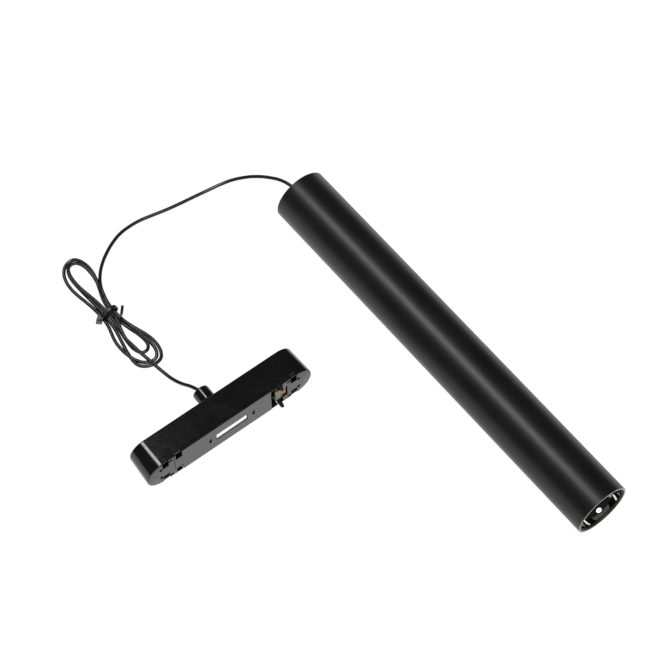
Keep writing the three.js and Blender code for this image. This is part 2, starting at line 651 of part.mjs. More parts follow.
function buildAdapter() {
  add(adapter, 'adapter_case', buildCase(), blackPlastic);
  add(adapter, 'adapter_cover', buildCover(), blackPlastic);
  CASE_SCREWS.forEach((x, i) => add(adapter, `case_screw_${i + 1}`, buildCaseScrew(x), steel));
  add(adapter, 'magnet',
    box(MAGNET_RANGE, [-MAGNET_HALF, MAGNET_HALF], [MAGNET_BACK, FACE - GAP]), nickel);
  add(adapter, 'magnet_keeper',
    box(MAGNET_RANGE, [-4.4, 4.4], [KEEPER_BACK, MAGNET_BACK - 0.4]), steel);
  add(adapter, 'magnet_clip', buildMagnetClip(), blackPlastic);
  corners((end, side) => {
    const place = `${end < 0 ? 'near' : 'far'}_${side < 0 ? 'lower' : 'upper'}`;
    add(adapter, `catch_${place}`, buildCatch(end, side), blackPlastic);
    add(adapter, `catch_spring_${place}`, buildCatchSpring(end, side), steel);
  });
  mirrored((side) => {
    const place = side < 0 ? 'lower' : 'upper';
    add(adapter, `contact_pin_${place}`, buildPin(side), blackPlastic);
    add(adapter, `pin_spring_${place}`, buildPinSpring(side), steel);
    add(adapter, `contact_strip_${place}`, buildStrip(side), copper);
    add(adapter, `feed_lead_${place}`, buildFeedLead(side), side < 0 ? blackPlastic : redSheath);
  });
  add(adapter, 'contact_board', box([35.8, 39.9], [-5.4, 5.4], [FACE - 1.6, FACE - 0.4]), board);
  add(adapter, 'driver_board', buildDriverBoard(), board);
  add(adapter, 'driver_inductor', box([-21, -12.6], [-4.4, 4.4], [8.3, 12.6]), greyCeramic);
  add(adapter, 'driver_capacitor', upright(ring(8.3, 12.6, 3.2)).translate(10.5, -6, 0), bareAluminium);
  add(adapter, 'driver_chip', box([7, 13], [4.2, 9.2], [8.3, 10]), rubber);
  add(adapter, 'gland_body', buildGlandBody(), blackPlastic);
  add(adapter, 'gland_nut', buildGlandNut(), blackPlastic);
  add(adapter, 'gland_seal',
    upright(ring(-9.3, -7.3, 4.1, CORD_RADIUS + GAP, 16)).translate(GLAND_X, 0, 0), rubber);
  add(adapter, 'gland_locknut',
    upright(nut(FLOOR + GAP, FLOOR + 2.8, 7.2, 5.3)).translate(GLAND_X, 0, 0), steel);
  add(adapter, 'adapter_cable',
    upright(ring(GLAND_TIP + GAP, 10.2, CORD_RADIUS, 0, 10)).translate(GLAND_X, 0, 0), cordSheath);
}

// ---------------------------------------------------------------- free cord

// The lamp's end of the cord: out of the bush, down to the surface and round to the hank.
const LAMP_ROUTE = [
  [CAP_FACE - GAP, TUBE_Y, TUBE_RADIUS], [BUSH_NOSE - GAP, TUBE_Y, TUBE_RADIUS],
  [-159.9, 93.7, 19], [-167.8, 92.1, 17.5], [-175.4, 88.8, 15.2], [-185.2, 82.4, 11.4],
  [-191.3, 76.7, 8.3], [-196.1, 70.4, 5.5], [-199.4, 63.2, 3.3], [-201.8, 54.1, 1.9],
  [-203.8, 43.9, 1.4], [-205.5, 33.4, 1.3], [-207.7, 21.7, 1.3], [-210.2, 11.3, 1.3],
  [-211.9, 3.5, 1.3], [-212.5, -5.6, 1.3], [-211.8, -13.4, 1.3], [-209.3, -21.2, 1.3],
  [-205.6, -28.6, 1.4], [-200.4, -36.3, 1.6], [-196, -40.8, 2],
];

// The adapter's end: off the hank's far end and up into the gland.
const ADAPTER_ROUTE = [
  [-113.6, -56, 3.6], [-106.3, -54.9, 3.6], [-99.7, -53.9, 4.4], [-91.7, -51.9, 6.9],
  [-84.6, -49.6, 10.6], [-77.4, -47.7, 13.1],
];

const HANK_HEIGHT = 7;
const HANK_LEFT = -216.5;
const HANK_RIGHT = -114.2;
const HANK_MIDDLE_Y = -55.2;
const HANK_HALF = 11.4;             // half the width of its two loops
const WAIST_X = -166.2;
const WAIST_Y = -57;
const WAIST_HALF = 6.2;

function buildHank() {
  const shape = new THREE.Shape();
  const leftCentre = HANK_LEFT + HANK_HALF;
  const rightCentre = HANK_RIGHT - HANK_HALF;
  const top = HANK_MIDDLE_Y + HANK_HALF;
  const bottom = HANK_MIDDLE_Y - HANK_HALF;
  shape.absarc(leftCentre, HANK_MIDDLE_Y, HANK_HALF, Math.PI / 2, 3 * Math.PI / 2);
  shape.quadraticCurveTo(leftCentre + 20, bottom, WAIST_X - 4, WAIST_Y - WAIST_HALF);
  shape.lineTo(WAIST_X + 4, WAIST_Y - WAIST_HALF);
  shape.quadraticCurveTo(rightCentre - 22, bottom, rightCentre, bottom);
  shape.absarc(rightCentre, HANK_MIDDLE_Y, HANK_HALF, -Math.PI / 2, Math.PI / 2);
  shape.quadraticCurveTo(rightCentre - 22, top, WAIST_X + 4, WAIST_Y + WAIST_HALF);
  shape.lineTo(WAIST_X - 4, WAIST_Y + WAIST_HALF);
  shape.quadraticCurveTo(leftCentre + 20, top, leftCentre, top);
  return extruded(shape, 0, HANK_HEIGHT, 7);
}

// The twist tie: a band over the hank's waist and its two twisted ends.
function buildTie() {
  const band = [WAIST_X - 1.6, WAIST_X + 1.6];
  const reach = WAIST_HALF + GAP;
  const ends = WAIST_Y + reach;
  const arch = cut(
    solid(box(band, [WAIST_Y - reach - 0.9, ends + 0.9], [0.2, HANK_HEIGHT + GAP + 0.9])),
    solid(box([band[0] - 1, band[1] + 1], [WAIST_Y - reach, ends], [-1, HANK_HEIGHT + GAP])),
  );
  const high = HANK_HEIGHT + GAP + 0.7;
  const longEnd = bar([[WAIST_X + 0.6, -55, high + 0.3], [-160.8, -52.6, high + 0.6],
    [-159.8, -50, high + 0.6], [-162.6, -46.8, high + 0.4]], 0.9, 8, 6);
  const shortEnd = bar([[WAIST_X + 0.6, -60, high + 0.7], [-161.6, -62, high + 0.8],
    [-162.6, -66, high + 0.6]], 1.3, 8, 4);
  return joined(arch, solid(longEnd), solid(shortEnd));
}

function buildCord() {
  add(group, 'cord_lamp_side', bar(LAMP_ROUTE, CORD_RADIUS, 8, 34), cordSheath);
  add(group, 'cord_hank', buildHank(), cordSheath);
  add(group, 'cord_adapter_side', bar(ADAPTER_ROUTE, CORD_RADIUS, 8, 9), cordSheath);
  add(group, 'twist_tie', buildTie(), rubber);
}

buildLamp();
buildAdapter();
buildCord();

export default group;
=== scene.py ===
"""A magnetic track pendant spotlight on a pale floor: tube lamp, tied cord and track adapter.

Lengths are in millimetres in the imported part's own frame (+X to the light end, +Z up, the floor at
Z = 0) and are turned into metres where a mesh or curve is made. The camera's distance and the
lights are in metres."""

import json
import math

import bmesh
import bpy
from mathutils import Matrix, Vector


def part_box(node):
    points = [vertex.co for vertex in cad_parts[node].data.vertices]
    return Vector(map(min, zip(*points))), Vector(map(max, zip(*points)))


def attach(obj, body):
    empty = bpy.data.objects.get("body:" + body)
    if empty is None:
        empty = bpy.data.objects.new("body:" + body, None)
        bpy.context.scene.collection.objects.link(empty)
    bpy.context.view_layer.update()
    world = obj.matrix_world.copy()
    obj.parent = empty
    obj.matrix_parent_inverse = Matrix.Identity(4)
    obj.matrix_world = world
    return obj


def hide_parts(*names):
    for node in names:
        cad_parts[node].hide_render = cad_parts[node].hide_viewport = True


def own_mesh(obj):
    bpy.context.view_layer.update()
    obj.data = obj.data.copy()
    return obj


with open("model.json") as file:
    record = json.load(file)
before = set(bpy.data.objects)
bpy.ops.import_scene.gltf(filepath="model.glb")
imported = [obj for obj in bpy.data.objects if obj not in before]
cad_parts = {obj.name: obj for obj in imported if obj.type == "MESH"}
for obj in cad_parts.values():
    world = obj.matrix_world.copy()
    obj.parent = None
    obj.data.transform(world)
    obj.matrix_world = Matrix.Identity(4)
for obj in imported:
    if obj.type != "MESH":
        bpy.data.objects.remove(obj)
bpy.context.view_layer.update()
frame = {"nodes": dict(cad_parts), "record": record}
nodes = frame["nodes"]
MM = 0.001
BODY = "fixture"


def mm(*values):
    return tuple(v * MM for v in values)


def node_box(name):
    """The lowest and highest corner of a CAD node, in millimetres."""
    low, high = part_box(name)
    return Vector(low) / MM, Vector(high) / MM


# ---------------------------------------------------------------- camera

AZIMUTH = math.radians(50.94)
ELEVATION = math.radians(60.639)
DISTANCE = 1.461363
TARGET = Vector(mm(-66.325, 50.414, 0))
LENS = 121.075                  # focal length and sensor width, mm
SENSOR = 36


def make_camera():
    data = bpy.data.cameras.new("camera")
    data.lens = LENS
    data.sensor_width = SENSOR
    camera = bpy.data.objects.new("camera", data)
    bpy.context.scene.collection.objects.link(camera)
    back = Vector((
        math.sin(AZIMUTH) * math.cos(ELEVATION),
        -math.cos(AZIMUTH) * math.cos(ELEVATION),
        math.sin(ELEVATION),
    ))
    camera.location = TARGET + DISTANCE * back
    camera.rotation_euler = back.to_track_quat("Z", "Y").to_euler()
    bpy.context.scene.camera = camera


# ---------------------------------------------------------------- node helpers for materials

class Nodes:
    """Makes and links shader nodes for one material."""

    def __init__(self, name):
        self.material = bpy.data.materials.new(name)
        self.material.use_nodes = True
        self.tree = self.material.node_tree
        self.shader = self.tree.nodes["Principled BSDF"]
        self.where = self.tree.nodes.new("ShaderNodeTexCoord").outputs["Object"]

    def link(self, a, b):
        self.tree.links.new(a, b)

    def set(self, **values):
        for name, value in values.items():
            self.shader.inputs[name.replace("_", " ")].default_value = value

    def noise(self, scale, detail=2.0, stretch=(1, 1, 1)):
        mapping = self.tree.nodes.new("ShaderNodeMapping")
        mapping.inputs["Scale"].default_value = stretch
        self.link(self.where, mapping.inputs["Vector"])
        noise = self.tree.nodes.new("ShaderNodeTexNoise")
        noise.inputs["Scale"].default_value = scale
        noise.inputs["Detail"].default_value = detail
        self.link(mapping.outputs["Vector"], noise.inputs["Vector"])
        return noise.outputs["Fac"]

    def ramp(self, value, low, high, start=0.3, end=0.7):
        """Maps a noise value to a number between low and high."""
        node = self.tree.nodes.new("ShaderNodeMapRange")
        node.inputs["From Min"].default_value = start
        node.inputs["From Max"].default_value = end
        node.inputs["To Min"].default_value = low
        node.inputs["To Max"].default_value = high
        self.link(value, node.inputs["Value"])
        return node.outputs["Result"]

    def colors(self, value, first, second, start=0.3, end=0.7):
        """Blends two colours by a noise value."""
        node = self.tree.nodes.new("ShaderNodeMix")
        node.data_type = "RGBA"
        node.inputs["A"].default_value = (*first, 1)
        node.inputs["B"].default_value = (*second, 1)
        self.link(self.ramp(value, 0, 1, start, end), node.inputs["Factor"])
        self.link(node.outputs["Result"], self.shader.inputs["Base Color"])

    def rough(self, value, low, high):
        self.link(self.ramp(value, low, high), self.shader.inputs["Roughness"])

    def bump(self, value, height, strength=1.0):
        node = self.tree.nodes.new("ShaderNodeBump")
        node.inputs["Distance"].default_value = height * MM
        node.inputs["Strength"].default_value = strength
        self.link(value, node.inputs["Height"])
        if self.shader.inputs["Normal"].is_linked:
            self.link(self.shader.inputs["Normal"].links[0].from_socket, node.inputs["Normal"])
        self.link(node.outputs["Normal"], self.shader.inputs["Normal"])


def coated_metal():
    n = Nodes("coated_metal")
    n.colors(n.noise(60, 3), (0.005, 0.005, 0.005), (0.008, 0.0078, 0.0075))
    n.rough(n.noise(900, 3), 0.34, 0.4)
    n.bump(n.noise(2600, 2), 0.01, 0.12)
    n.set(IOR=1.45, Specular_IOR_Level=0.42)
    return n.material


def worn_edge():
    n = Nodes("worn_edge")
    n.colors(n.noise(500, 3), (0.10, 0.10, 0.098), (0.16, 0.16, 0.155))
    n.rough(n.noise(1500, 2), 0.24, 0.36)
    n.bump(n.noise(2200, 2), 0.006, 0.2)
    n.set(IOR=2.2)
    return n.material


def coated_inside():
    n = Nodes("coated_inside")
    n.colors(n.noise(80, 2), (0.010, 0.010, 0.010), (0.015, 0.015, 0.015))
    n.rough(n.noise(1500, 2), 0.5, 0.62)
    n.bump(n.noise(2600, 2), 0.012, 0.3)
    return n.material


def dark_mirror():
    n = Nodes("dark_mirror")
    n.colors(n.noise(50, 2), (0.25, 0.236, 0.214), (0.29, 0.275, 0.25))
    n.rough(n.noise(700, 2, (0.15, 1, 1)), 0.05, 0.08)
    n.bump(n.noise(120, 2), 0.02, 0.05)
    n.set(Metallic=1.0)
    return n.material


def black_plastic():
    n = Nodes("black_plastic")
    n.colors(n.noise(90, 4), (0.0042, 0.0042, 0.0041), (0.0066, 0.0066, 0.0064))
    n.rough(n.noise(260, 3), 0.12, 0.16)
    n.bump(n.noise(140, 2), 0.02, 0.04)
    n.set(IOR=1.56)
    return n.material


def matte_plastic():
    n = Nodes("matte_plastic")
    n.colors(n.noise(200, 3), (0.003, 0.003, 0.003), (0.006, 0.0058, 0.0055))
    n.rough(n.noise(1600, 2), 0.5, 0.66)
    n.bump(n.noise(2400, 3), 0.012, 0.25)
    n.set(Specular_IOR_Level=0.3)
    return n.material


def cord_sheath():
    n = Nodes("cord_sheath")
    n.colors(n.noise(260, 3), (0.004, 0.004, 0.0036), (0.008, 0.008, 0.0072))
    n.rough(n.noise(300, 3), 0.26, 0.31)
    n.bump(n.noise(160, 2), 0.02, 0.04)
    n.set(IOR=1.5)
    return n.material


def tie_sheath():
    n = Nodes("tie_sheath")
    n.colors(n.noise(420, 4), (0.004, 0.004, 0.004), (0.014, 0.014, 0.013), 0.45, 0.8)
    n.rough(n.noise(1500, 3), 0.3, 0.42)
    n.bump(n.noise(900, 3), 0.03, 0.2)
    return n.material


def tie_grey_tip():
    # A lighter grey for the tip of the tie's short end.
    n = Nodes("tie_grey_tip")
    n.colors(n.noise(600, 3), (0.07, 0.07, 0.065), (0.17, 0.17, 0.16))
    n.rough(n.noise(1500, 3), 0.4, 0.55)
    n.bump(n.noise(900, 3), 0.03, 0.3)
    return n.material


def rubber():
    n = Nodes("rubber")
    n.colors(n.noise(300, 3), (0.008, 0.008, 0.008), (0.015, 0.015, 0.015))
    n.rough(n.noise(1800, 2), 0.68, 0.85)
    n.bump(n.noise(2600, 2), 0.02, 0.35)
    return n.material


def bare_metal(name, first, second, low, high, stretch=(1, 1, 1)):
    n = Nodes(name)
    n.colors(n.noise(150, 3), first, second)
    n.rough(n.noise(1300, 3, stretch), low, high)
    n.bump(n.noise(2000, 2, stretch), 0.006, 0.3)
    n.set(Metallic=1.0)
    return n.material


def plain_moulding(name, first, second, low, high):
    n = Nodes(name)
    n.colors(n.noise(260, 3), first, second)
    n.rough(n.noise(1200, 2), low, high)
    n.bump(n.noise(2200, 2), 0.01, 0.25)
    return n.material


def phosphor():
    n = Nodes("phosphor")
    n.colors(n.noise(1500, 3), (0.85, 0.62, 0.16), (0.95, 0.75, 0.3))
    n.rough(n.noise(2000, 2), 0.5, 0.65)
    n.bump(n.noise(3000, 2), 0.02, 0.4)
    return n.material


def clear_glass():
    n = Nodes("clear")
    n.colors(n.noise(120, 2), (0.95, 0.97, 1.0), (1.0, 1.0, 1.0))
    n.rough(n.noise(900, 2), 0.02, 0.06)
    n.bump(n.noise(400, 2), 0.01, 0.05)
    n.set(IOR=1.49, Transmission_Weight=1.0)
    return n.material


COATED = coated_metal()
INSIDE = coated_inside()
MIRROR = dark_mirror()
PLASTIC = black_plastic()
MATTE = matte_plastic()
SHEATH = cord_sheath()
TIE = tie_sheath()
TIE_GREY_TIP = tie_grey_tip()
EDGE_LOOK = worn_edge()
RUBBER = rubber()
ALUMINIUM = bare_metal("bare_aluminium", (0.62, 0.63, 0.65), (0.74, 0.75, 0.77), 0.3, 0.42,
                       (0.1, 1, 1))
STEEL = bare_metal("steel", (0.48, 0.49, 0.51), (0.62, 0.63, 0.65), 0.24, 0.36)
NICKEL = bare_metal("nickel", (0.93, 0.91, 0.86), (0.97, 0.955, 0.91), 0.16, 0.24)
COPPER = bare_metal("copper", (0.42, 0.22, 0.12), (0.55, 0.36, 0.27), 0.3, 0.45)
BOARD = plain_moulding("board", (0.13, 0.16, 0.07), (0.20, 0.22, 0.12), 0.35, 0.5)
WHITE = plain_moulding("white_plastic", (0.80, 0.79, 0.76), (0.87, 0.86, 0.83), 0.4, 0.5)
CERAMIC = plain_moulding("ceramic", (0.07, 0.07, 0.075), (0.12, 0.12, 0.125), 0.6, 0.75)
RED = plain_moulding("red_sheath", (0.36, 0.02, 0.02), (0.48, 0.035, 0.03), 0.35, 0.5)
PHOSPHOR = phosphor()
CLEAR = clear_glass()

SLOT_LOOKS = {
    "coated_metal": COATED, "dark_mirror": MIRROR, "black_plastic": PLASTIC, "cord_sheath": SHEATH,
    "soft_rubber": RUBBER, "bare_aluminium": ALUMINIUM, "steel": STEEL, "nickel": NICKEL,
    "copper": COPPER, "board": BOARD, "white_plastic": WHITE, "phosphor": PHOSPHOR, "clear": CLEAR,
    "ceramic": CERAMIC, "red_sheath": RED,
}


def dress_cad_nodes():
    for part in frame["record"]["subparts"]:
        data = nodes[part["node"]].data
        data.materials.clear()
        data.materials.append(SLOT_LOOKS[part["material_slot"]])


# ---------------------------------------------------------------- mesh helpers

SHARP = math.radians(32)        # an edge that turns by more than this stays sharp
NEARLY_STRAIGHT = math.radians(88)


def finish_mesh(obj, look, body, slot, *replaced):
    """Smooths the round faces of a piece, keeps its sharp edges, and fastens it to the frame."""
    obj.data.materials.clear()
    obj.data.materials.append(look)
    obj.data.shade_smooth()
    obj.data.set_sharp_from_angle(angle=SHARP)
    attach(obj, body)
    if replaced:
        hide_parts(*replaced)
    return obj


def from_bmesh(name, bm):
    bmesh.ops.recalc_face_normals(bm, faces=bm.faces)
    data = bpy.data.meshes.new(name)
    bm.to_mesh(data)
    bm.free()
    obj = bpy.data.objects.new(name, data)
    bpy.context.scene.collection.objects.link(obj)
    return obj


def applied(obj):
    """Applies an object's modifiers to its mesh."""
    bpy.context.view_layer.update()
    graph = bpy.context.evaluated_depsgraph_get()
    data = bpy.data.meshes.new_from_object(obj.evaluated_get(graph))
    obj.modifiers.clear()
    obj.data = data
    return obj


def rounded(corners, radius, steps=5):
    """Rounds the corners of a closed outline. A corner with a third value has its own radius."""
    out = []
    count = len(corners)
    for i, corner in enumerate(corners):
        here = Vector(corner[:2])
        before = Vector(corners[i - 1][:2]) - here
        after = Vector(corners[(i + 1) % count][:2]) - here
        r = corner[2] if len(corner) > 2 else radius
        half = before.angle(after) / 2
        cut = min(r / math.tan(half), 0.45 * before.length, 0.45 * after.length)
        if cut < 1e-4 or half > NEARLY_STRAIGHT:
            out.append(here)
            continue
        a = here + before.normalized() * cut
        b = here + after.normalized() * cut
        for k in range(steps + 1):
            t = k / steps
            out.append(a.lerp(here, t).lerp(here.lerp(b, t), t))
    return out


def box_bmesh(low, high):
    bm = bmesh.new()
    bmesh.ops.create_cube(bm, size=1)
    for vert in bm.verts:
        vert.co = Vector([low[i] + (vert.co[i] + 0.5) * (high[i] - low[i]) for i in range(3)]) * MM
    return bm


def join_loops(bm, loops):
    """Skins over loops of vertices one after another and closes both ends."""
    for first, second in zip(loops, loops[1:]):
        for k in range(len(first)):
            j = (k + 1) % len(first)
            bm.faces.new((first[k], first[j], second[j], second[k]))
    bm.faces.new(loops[0])
    bm.faces.new(loops[-1])


def turned(name, outline, centre, segments=96):
    """Turns a closed outline of (x, radius) points about the X axis through centre."""
    bm = bmesh.new()
    rings = []
    for x, r in outline:
        if r < 1e-4:
            rings.append([bm.verts.new(mm(x, centre.y, centre.z))] * segments)
            continue
        ring = []
        for k in range(segments):
            a = 2 * math.pi * k / segments
            ring.append(bm.verts.new(mm(x, centre.y + r * math.sin(a), centre.z + r * math.cos(a))))
        rings.append(ring)
    for i, ring in enumerate(rings):
        following = rings[(i + 1) % len(rings)]
        for k in range(segments):
            j = (k + 1) % segments
            corners = []
            for v in (ring[k], ring[j], following[j], following[k]):
                if v not in corners:
                    corners.append(v)
            if len(corners) > 2:
                bm.faces.new(corners)
    return from_bmesh(name, bm)


# ---------------------------------------------------------------- cord

CORD = 2.4                      # diameter, mm
# From the bush in the lamp's cap down to the floor and round to the hank's waist.
LAMP_ROUTE = [
    (-149.8, 94, 19.5), (-155.8, 94, 19.5), (-159.9, 93.7, 19), (-167.8, 92.1, 17.5),
    (-175.4, 88.8, 15.2), (-185.2, 82.4, 11.4), (-191.3, 76.7, 8.3), (-196.1, 70.4, 5.5),
    (-199.4, 63.2, 3.3), (-201.8, 54.1, 1.9), (-203.8, 43.9, 1.4), (-205.5, 33.4, 1.3),
    (-207.7, 21.7, 1.3), (-210.2, 11.3, 1.3), (-211.9, 3.5, 1.3), (-212.5, -5.6, 1.3),
    (-211.8, -13.4, 1.3), (-209.3, -21.2, 1.3), (-205.6, -28.6, 1.4), (-200.4, -36.3, 1.6),
    (-193.4, -43.2, 3), (-185.2, -48.5, 4.6), (-176.7, -51.4, 4.6), (-170.2, -52.6, 3.9),
]
# From the hank's waist over its end and up into the adapter's gland.
ADAPTER_ROUTE = [
    (-155.0, -56.4, 5.2), (-148.5, -58.2, 4.4), (-143.0, -59.2, 3.7), (-136, -58.7, 3.6),
    (-127.6, -57.9, 3.6), (-120.8, -56.9, 3.6), (-113.6, -56, 3.6), (-106.3, -54.9, 3.6),
    (-99.7, -53.9, 4.4), (-91.7, -51.9, 6.9), (-84.6, -49.6, 10.6), (-77.4, -47.7, 13.1),
]
WAIST_X = -166.2
# Each lobe of the hank: where it is furthest sideways going out, where it turns back, and furthest
# sideways coming back, as (x, y, z), then its place in the waist as (y, z).
LOBES = [
    ((-130.2, -45.0, 1.2), (-116.8, -52.8, 1.2), (-126.0, -64.7, 1.2), (-59.0, 1.2)),
    ((-198.7, -60.1, 1.2), (-212.8, -53.1, 1.2), (-200.7, -46.8, 1.2), (-52.0, 1.2)),
    ((-127.8, -48.2, 3.4), (-119.6, -53.4, 1.3), (-142.2, -65.7, 1.4), (-61.3, 1.2)),
    ((-197.7, -64.4, 1.2), (-214.3, -53.4, 3.4), (-200.0, -46.6, 5.7), (-54.3, 1.3)),
    ((-134.6, -49.4, 1.2), (-128.2, -54.0, 1.2), (-137.7, -59.3, 1.2), (-57.0, 3.2)),
    ((-197.5, -60.0, 3.5), (-212.4, -53.4, 3.5), (-199.8, -46.4, 3.5), (-54.4, 5.2)),
]
FIRST_PLACE = (-52.8, 3.4)      # the cord's place in the waist before the first lobe, as (y, z)
OUTWARD_EASE = 1.25             # over 1 keeps a run in the waist's bundle for longer
INWARD_EASE = 1.1
QUARTER_STEPS = [math.radians(a) for a in (22.5, 45, 67.5)]


def eased(a, b, t, late):
    """A point between the waist and a lobe's widest place, leaving and arriving along x."""
    s = 0.5 - 0.5 * math.cos(math.pi * t ** late)
    rise = 0.5 - 0.5 * math.cos(math.pi * t)
    return (a[0] + (b[0] - a[0]) * t, a[1] + (b[1] - a[1]) * s, a[2] + (b[2] - a[2]) * rise)


def quarter(a, b, turn, along_first):
    """A point on the quarter superellipse from a to b, leaving a along x (or along y).

    A long quarter is squarer than an ellipse, so that the cord isn't bent tightly at its tip."""
    slim = abs(b[0] - a[0]) / abs(b[1] - a[1])
    squareness = 0.3 * min(1, max(0, slim - 1))
    power = 2 / (2 + squareness)
    s, c = math.sin(turn) ** power, math.cos(turn) ** power
    z = a[2] + (b[2] - a[2]) * turn / (math.pi / 2)
    if along_first:
        return (a[0] + (b[0] - a[0]) * s, b[1] + (a[1] - b[1]) * c, z)
    return (b[0] + (a[0] - b[0]) * c, a[1] + (b[1] - a[1]) * s, z)


def hank_points():
    """The cord's points through the hank, lobe after lobe, from one end of its waist to the other."""
    points = []
    place = (WAIST_X, *FIRST_PLACE)
    for out, end, back, waist in LOBES:
        points.append(place)
        points += [eased(place, out, t, OUTWARD_EASE) for t in (0.3, 0.55, 0.8)]
        points.append(out)
        points += [quarter(out, end, a, True) for a in QUARTER_STEPS]
        points.append(end)
        points += [quarter(end, back, a, False) for a in QUARTER_STEPS]
        points.append(back)
        place = (WAIST_X, *waist)
        points += [eased(place, back, t, INWARD_EASE) for t in (0.8, 0.55, 0.3)]
    points.append(place)
    return points


def curve_through(name, points, radius):
    """A round cord along one smooth open spline."""
    data = bpy.data.curves.new(name, "CURVE")
    data.dimensions = "3D"
    data.bevel_depth = radius * MM
    data.bevel_resolution = 6
    data.resolution_u = 8
    data.use_fill_caps = True
    spline = data.splines.new("BEZIER")
    spline.bezier_points.add(len(points) - 1)
    for knot, co in zip(spline.bezier_points, points):
        knot.co = mm(*co)
        knot.handle_left_type = "AUTO"
        knot.handle_right_type = "AUTO"
    obj = bpy.data.objects.new(name, data)
    bpy.context.scene.collection.objects.link(obj)
    return obj


def make_cord():
    route = LAMP_ROUTE + hank_points() + ADAPTER_ROUTE
    cord = curve_through("cord", route, CORD / 2)
    cord.data.materials.append(SHEATH)
    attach(cord, BODY)
    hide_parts("cord_lamp_side", "cord_hank", "cord_adapter_side")


# ---------------------------------------------------------------- twist tie

def swept_band(name, path, width, thickness):
    """A flat ribbon along a path of (place, direction of its width), with rounded edges."""
    section = rounded([(-width / 2, -thickness / 2), (width / 2, -thickness / 2),
                       (width / 2, thickness / 2), (-width / 2, thickness / 2)], 0.45 * thickness, 3)
    bm = bmesh.new()
    loops = []
    for i, (place, across) in enumerate(path):
        ahead = Vector(path[min(i + 1, len(path) - 1)][0]) - Vector(path[max(i - 1, 0)][0])
        ahead.normalize()
        side = Vector(across)
        side = (side - ahead * side.dot(ahead)).normalized()
        up = ahead.cross(side)
        loops.append([bm.verts.new((Vector(place) + side * a + up * b) * MM) for a, b in section])
    join_loops(bm, loops)
    return from_bmesh(name, bm)


def resampled(points, steps):
    """Points on a smooth curve through the given ones."""
    out = []
    ends = [points[0], *points, points[-1]]
    for i in range(len(points) - 1):
        p0, p1, p2, p3 = (Vector(p) for p in ends[i:i + 4])
        for k in range(steps):
            t = k / steps
            out.append(0.5 * (2 * p1 + (p2 - p0) * t + (2 * p0 - 5 * p1 + 4 * p2 - p3) * t * t
                              + (3 * p1 - p0 - 3 * p2 + p3) * t ** 3))
    out.append(Vector(points[-1]))
    return out


# Round the waist, in a plane across the hank, as (y, z); then its two ends as (x, y, z).
TIE_X = WAIST_X + 0.2
TIE_LOOP = [
    (-49.6, 3.4), (-50.1, 1), (-53, 0.52), (-57, 0.5), (-61, 0.52), (-63.4, 1.1), (-63.6, 3.2),
    (-61.4, 5), (-58, 6.4), (-54.6, 7.2), (-51.6, 6.4), (-50, 4.4), (-50.6, 1.7),
]
TIE_LONG_END = [
    (-164.6, -56.0, 7.0), (-160.6, -55.4, 6.8), (-157.6, -53.8, 6.8), (-157.4, -52.0, 7.3),
    (-159.2, -49.9, 7.8), (-161.9, -47.4, 8.2),
]
TIE_SHORT_END = [
    (-167.2, -60.8, 5.3), (-166.2, -62.6, 4.6), (-164.4, -64.9, 4.4), (-162.4, -66.8, 4.6),
]
TIE_GREY_FROM_Y = -65.4               # past this the short end is a lighter grey


def ribbon(name, points, across, steps, width, thickness):
    """A flat ribbon on a smooth curve through the points, with its width along across."""
    path = [(place, across) for place in resampled(points, steps)]
    return swept_band(name, path, width, thickness)


def make_tie():
    round_waist = [(TIE_X, y, z) for y, z in TIE_LOOP]
    band = ribbon("tie_band", round_waist, (1, 0, 0), 6, 2.6, 0.9)
    finish_mesh(band, TIE, BODY, "soft_rubber", "twist_tie")
    long_end = ribbon("tie_long_end", TIE_LONG_END, (0.2, 0.3, 1), 8, 2.1, 1.9)
    finish_mesh(long_end, TIE, BODY, "soft_rubber")
    short_end = ribbon("tie_short_end", TIE_SHORT_END, (1, 0.6, 0), 8, 4.2, 0.6)
    finish_mesh(short_end, TIE, BODY, "soft_rubber")
    # The tip of the short end is a lighter grey.
    short_end.data.materials.append(TIE_GREY_TIP)
    for face in short_end.data.polygons:
        if face.center.y < TIE_GREY_FROM_Y * MM:
            face.material_index = 1
    return [band, long_end, short_end]


# ---------------------------------------------------------------- lamp

TUBE_WALL = 1.5


def axis_of(name):
    """A point on the axis of a round CAD node that lies along X."""
    low, high = node_box(name)
    return (low + high) / 2


def make_tube():
    low, high = node_box("lamp_tube")
    outer = (high.z - low.z) / 2
    inner = outer - TUBE_WALL
    outline = rounded([(low.x, inner), (low.x, outer), (high.x, outer), (high.x, inner)], 0.35)
    tube = turned("tube_shell", outline, axis_of("lamp_tube"), 160)
    finish_mesh(tube, COATED, BODY, "coated_metal", "lamp_tube")
    tube.data.materials.append(EDGE_LOOK)
    for face in tube.data.polygons:
        faces_along = abs(face.normal.x) > 0.5
        if faces_along:
            face.material_index = 1


CUP_THROAT = 6.4
CUP_MOUTH = 17
CUP_WALL = 0.6
CUP_FOOT = 12                   # radius of the flange on the lens
CUP_RIM = 0.3                   # the straight lip at the mouth
BOWL = 13                       # radius of the bowl's section
CUP_FLANGE = 1.4                # thickness of the flange behind the front ring


